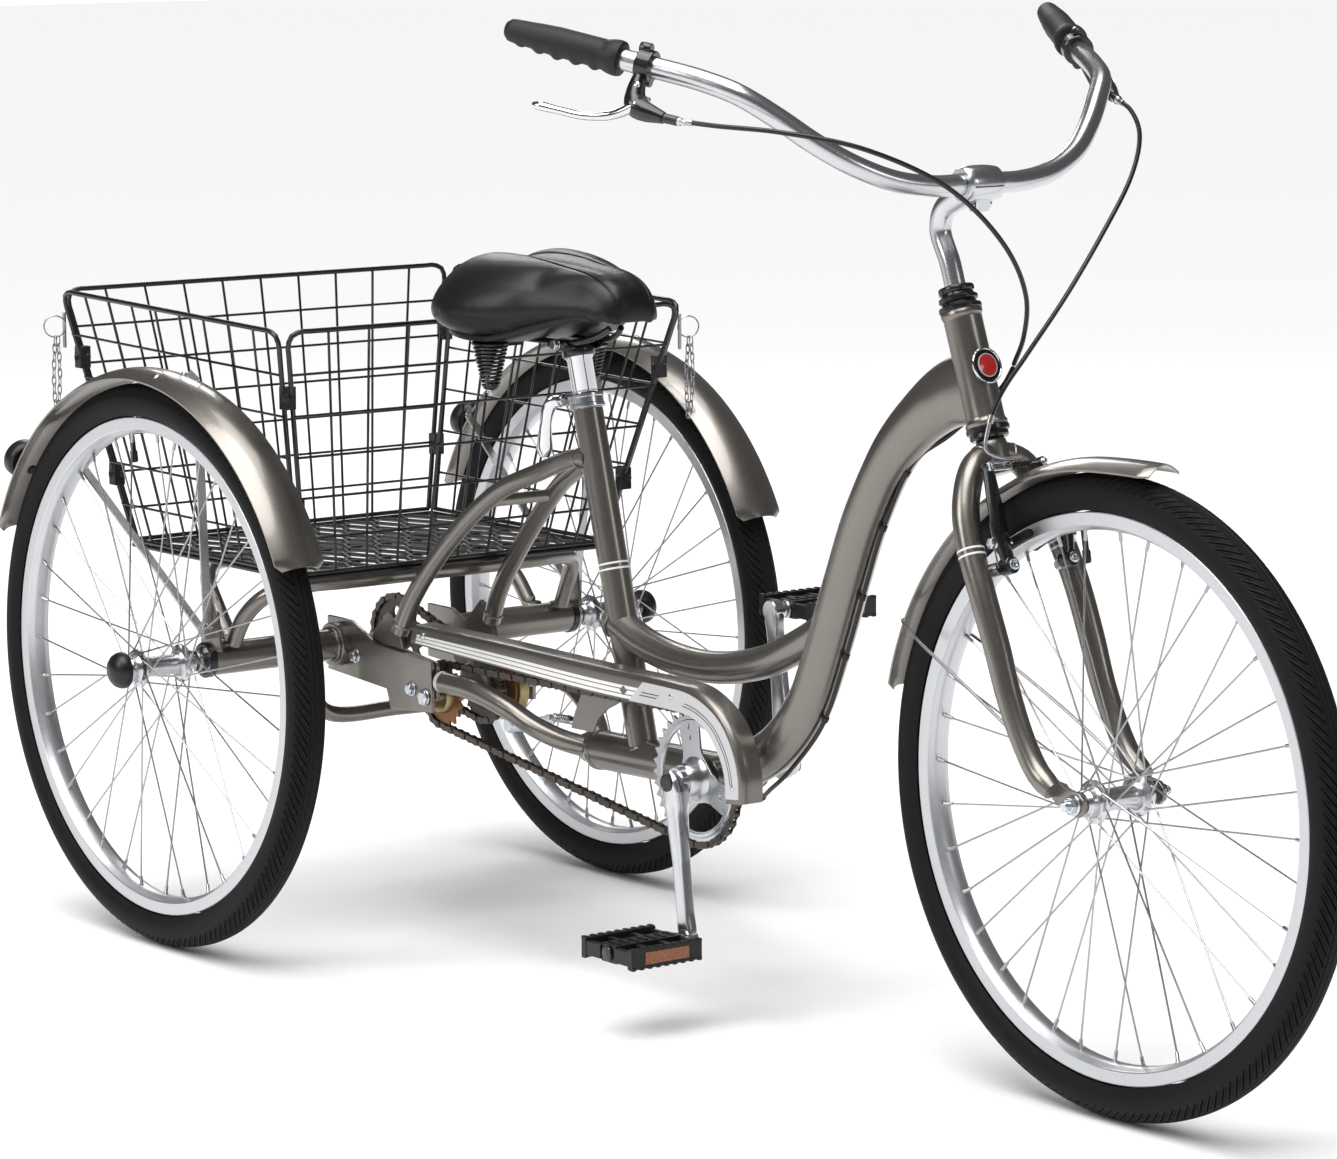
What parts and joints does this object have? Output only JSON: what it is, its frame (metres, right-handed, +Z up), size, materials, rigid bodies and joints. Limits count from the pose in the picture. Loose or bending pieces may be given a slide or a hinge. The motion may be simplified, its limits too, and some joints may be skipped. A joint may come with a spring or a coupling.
{
  "type": "adult tricycle",
  "caption": "Step-through adult tricycle with swept handlebars, sprung saddle, chain drive to a live rear axle, fenders and a wire cargo basket between the rear wheels.",
  "frame": {"origin": "on the floor, midway between the front and rear axles along the length, on the centre plane", "axes": "+X forwards to the front wheel, +Y to the left of the rider, +Z up"},
  "size_m": [1.921, 0.7726, 1.0924],
  "materials": {
    "frame_paint": "warm pewter metallic enamel with a gloss clear coat",
    "guard_paint": "warm pewter metallic enamel with white stripes",
    "basket_wire": "satin black coated steel wire and expanded sheet",
    "black_metal": "satin black",
    "tyre": "matt black moulded tread",
    "grip_rubber": "matt black moulded rubber",
    "cable_jacket": "smooth black cable jacket",
    "saddle_vinyl": "fine grained black vinyl over foam",
    "black_plastic": "fine moulded black",
    "alloy": "satin polished",
    "bright_steel": "bright zinc plate",
    "zinc_steel": "yellow zinc plate",
    "chain_steel": "oiled steel",
    "spring_steel": "black powder coated spring wire",
    "chrome": "polished plate"
  },
  "bodies": {
    "frame": {"head_tube": "frame_paint", "headset_lower": "black_metal", "down_tube": "frame_paint", "seat_tube": "frame_paint", "mid_tube": "frame_paint", "bottom_bracket": "frame_paint", "chain_stays": "frame_paint", "seat_stays": "frame_paint", "seat_clamp": "alloy", "axle_housing_right": "frame_paint", "axle_housing_left": "frame_paint", "cargo_carrier": "frame_paint", "lower_brace": "frame_paint", "basket": "basket_wire", "rear_fender_right": "frame_paint", "fender_stay_right": "bright_steel", "rear_fender_left": "frame_paint", "fender_stay_left": "bright_steel", "crank_chain": "chain_steel", "axle_chain": "chain_steel", "rear_brake_cable": "cable_jacket", "band_brake_bracket": "black_metal", "chain_guard": "guard_paint"},
    "steering": {"fork": "frame_paint", "front_axle": "bright_steel", "headset_upper": "black_metal", "stem": "alloy", "handlebar": "alloy", "grip_right": "grip_rubber", "lever_bracket_right": "black_plastic", "grip_left": "grip_rubber", "lever_bracket_left": "black_plastic", "front_fender": "frame_paint", "front_brake_cable": "cable_jacket", "rear_brake_cable_top": "cable_jacket"},
    "front_wheel": {"front_tyre": "tyre", "front_rim": "alloy", "front_hub": "bright_steel"},
    "right_wheel": {"right_tyre": "tyre", "right_rim": "alloy", "right_hub": "bright_steel"},
    "axle": {"rear_axle": "zinc_steel", "left_tyre": "tyre", "left_rim": "alloy", "left_hub": "bright_steel"},
    "crank": {"crank_right": "alloy", "crank_left": "alloy"},
    "right_pedal": {"pedal_right": "black_plastic"},
    "left_pedal": {"pedal_left": "black_plastic"},
    "jackshaft": {"jackshaft": "zinc_steel"},
    "post": {"seat_post": "chrome"},
    "seat": {"saddle": "saddle_vinyl", "seat_spring_right": "spring_steel", "seat_spring_left": "spring_steel"},
    "right_lever": {"brake_lever_right": "alloy"},
    "left_lever": {"brake_lever_left": "alloy"},
    "right_brake_arm": {"brake_arm_right": "black_metal"},
    "left_brake_arm": {"brake_arm_left": "black_metal"},
    "band_arm": {"band_brake_arm": "zinc_steel"},
    "clamp_lever": {"seat_lever": "chrome"}
  },
  "joints": [
    {"name": "steering", "type": "hinge", "parent": "frame", "child": "steering", "pos_m": [0.3965, 0, 0.791], "axis": [-0.342, 0, 0.9397], "range_deg": [-40, 40]},
    {"name": "front_wheel_spin", "type": "hinge", "parent": "steering", "child": "front_wheel", "pos_m": [0.6355, 0, 0.325], "axis": [0, 1, 0], "continuous": true},
    {"name": "right_wheel_spin", "type": "hinge", "parent": "frame", "child": "right_wheel", "pos_m": [-0.6355, -0.321, 0.325], "axis": [0, 1, 0], "continuous": true},
    {"name": "rear_axle_spin", "type": "hinge", "parent": "frame", "child": "axle", "pos_m": [-0.6355, 0, 0.325], "axis": [0, 1, 0], "continuous": true},
    {"name": "crank_spin", "type": "hinge", "parent": "frame", "child": "crank", "pos_m": [0.0165, 0, 0.258], "axis": [0, 1, 0], "continuous": true},
    {"name": "jackshaft_spin", "type": "hinge", "parent": "frame", "child": "jackshaft", "pos_m": [-0.4605, 0, 0.285], "axis": [0, 1, 0], "continuous": true},
    {"name": "pedal_right_spin", "type": "hinge", "parent": "crank", "child": "right_pedal", "pos_m": [0.05185, -0.087, 0.09172], "axis": [0, 1, 0], "continuous": true},
    {"name": "pedal_left_spin", "type": "hinge", "parent": "crank", "child": "left_pedal", "pos_m": [-0.01885, 0.087, 0.42429], "axis": [0, 1, 0], "continuous": true},
    {"name": "brake_lever_right_pull", "type": "hinge", "parent": "steering", "child": "right_lever", "pos_m": [0.2705, -0.312, 1.008], "axis": [-0.4731, 0.6551, -0.5891], "range_deg": [0, 20], "stiffness_Nm_per_rad": 1, "springref_deg": -11.46},
    {"name": "brake_lever_left_pull", "type": "hinge", "parent": "steering", "child": "left_lever", "pos_m": [0.2705, 0.312, 1.008], "axis": [0.4731, 0.6551, 0.5891], "range_deg": [0, 20], "stiffness_Nm_per_rad": 1, "springref_deg": -11.46},
    {"name": "brake_arm_right_swing", "type": "hinge", "parent": "steering", "child": "right_brake_arm", "pos_m": [0.5125, -0.04, 0.546], "axis": [0.9397, 0, 0.342], "range_deg": [-4, 0]},
    {"name": "brake_arm_left_swing", "type": "hinge", "parent": "steering", "child": "left_brake_arm", "pos_m": [0.5125, 0.04, 0.546], "axis": [0.9397, 0, 0.342], "range_deg": [0, 4]},
    {"name": "band_brake_arm_swing", "type": "hinge", "parent": "frame", "child": "band_arm", "pos_m": [-0.4485, 0.055, 0.241], "axis": [0, -1, 0], "range_deg": [0, 10]},
    {"name": "seat_post_slide", "type": "slide", "parent": "frame", "child": "post", "axis": [-0.2619, 0, 0.9651], "range_m": [-0.03, 0.06]},
    {"name": "saddle_bounce", "type": "hinge", "parent": "post", "child": "seat", "pos_m": [-0.1655, 0, 0.715], "axis": [0, -1, 0], "range_deg": [0, 2.5], "stiffness_Nm_per_rad": 600, "springref_deg": -1.15, "deforming": ["seat_spring_right", "seat_spring_left"]},
    {"name": "seat_clamp_lever_swing", "type": "hinge", "parent": "frame", "child": "clamp_lever", "pos_m": [-0.2775, -0.014, 0.64], "axis": [-1, 0, 0], "range_deg": [0, 100]}
  ],
  "couplings": [
    {"joint": "jackshaft_spin", "follows": "crank_spin", "ratio": 2},
    {"joint": "rear_axle_spin", "follows": "crank_spin", "ratio": 1.5},
    {"joint": "brake_arm_right_swing", "follows": "brake_lever_left_pull", "ratio": -0.2},
    {"joint": "brake_arm_left_swing", "follows": "brake_lever_left_pull", "ratio": 0.2},
    {"joint": "band_brake_arm_swing", "follows": "brake_lever_right_pull", "ratio": 0.5}
  ]
}
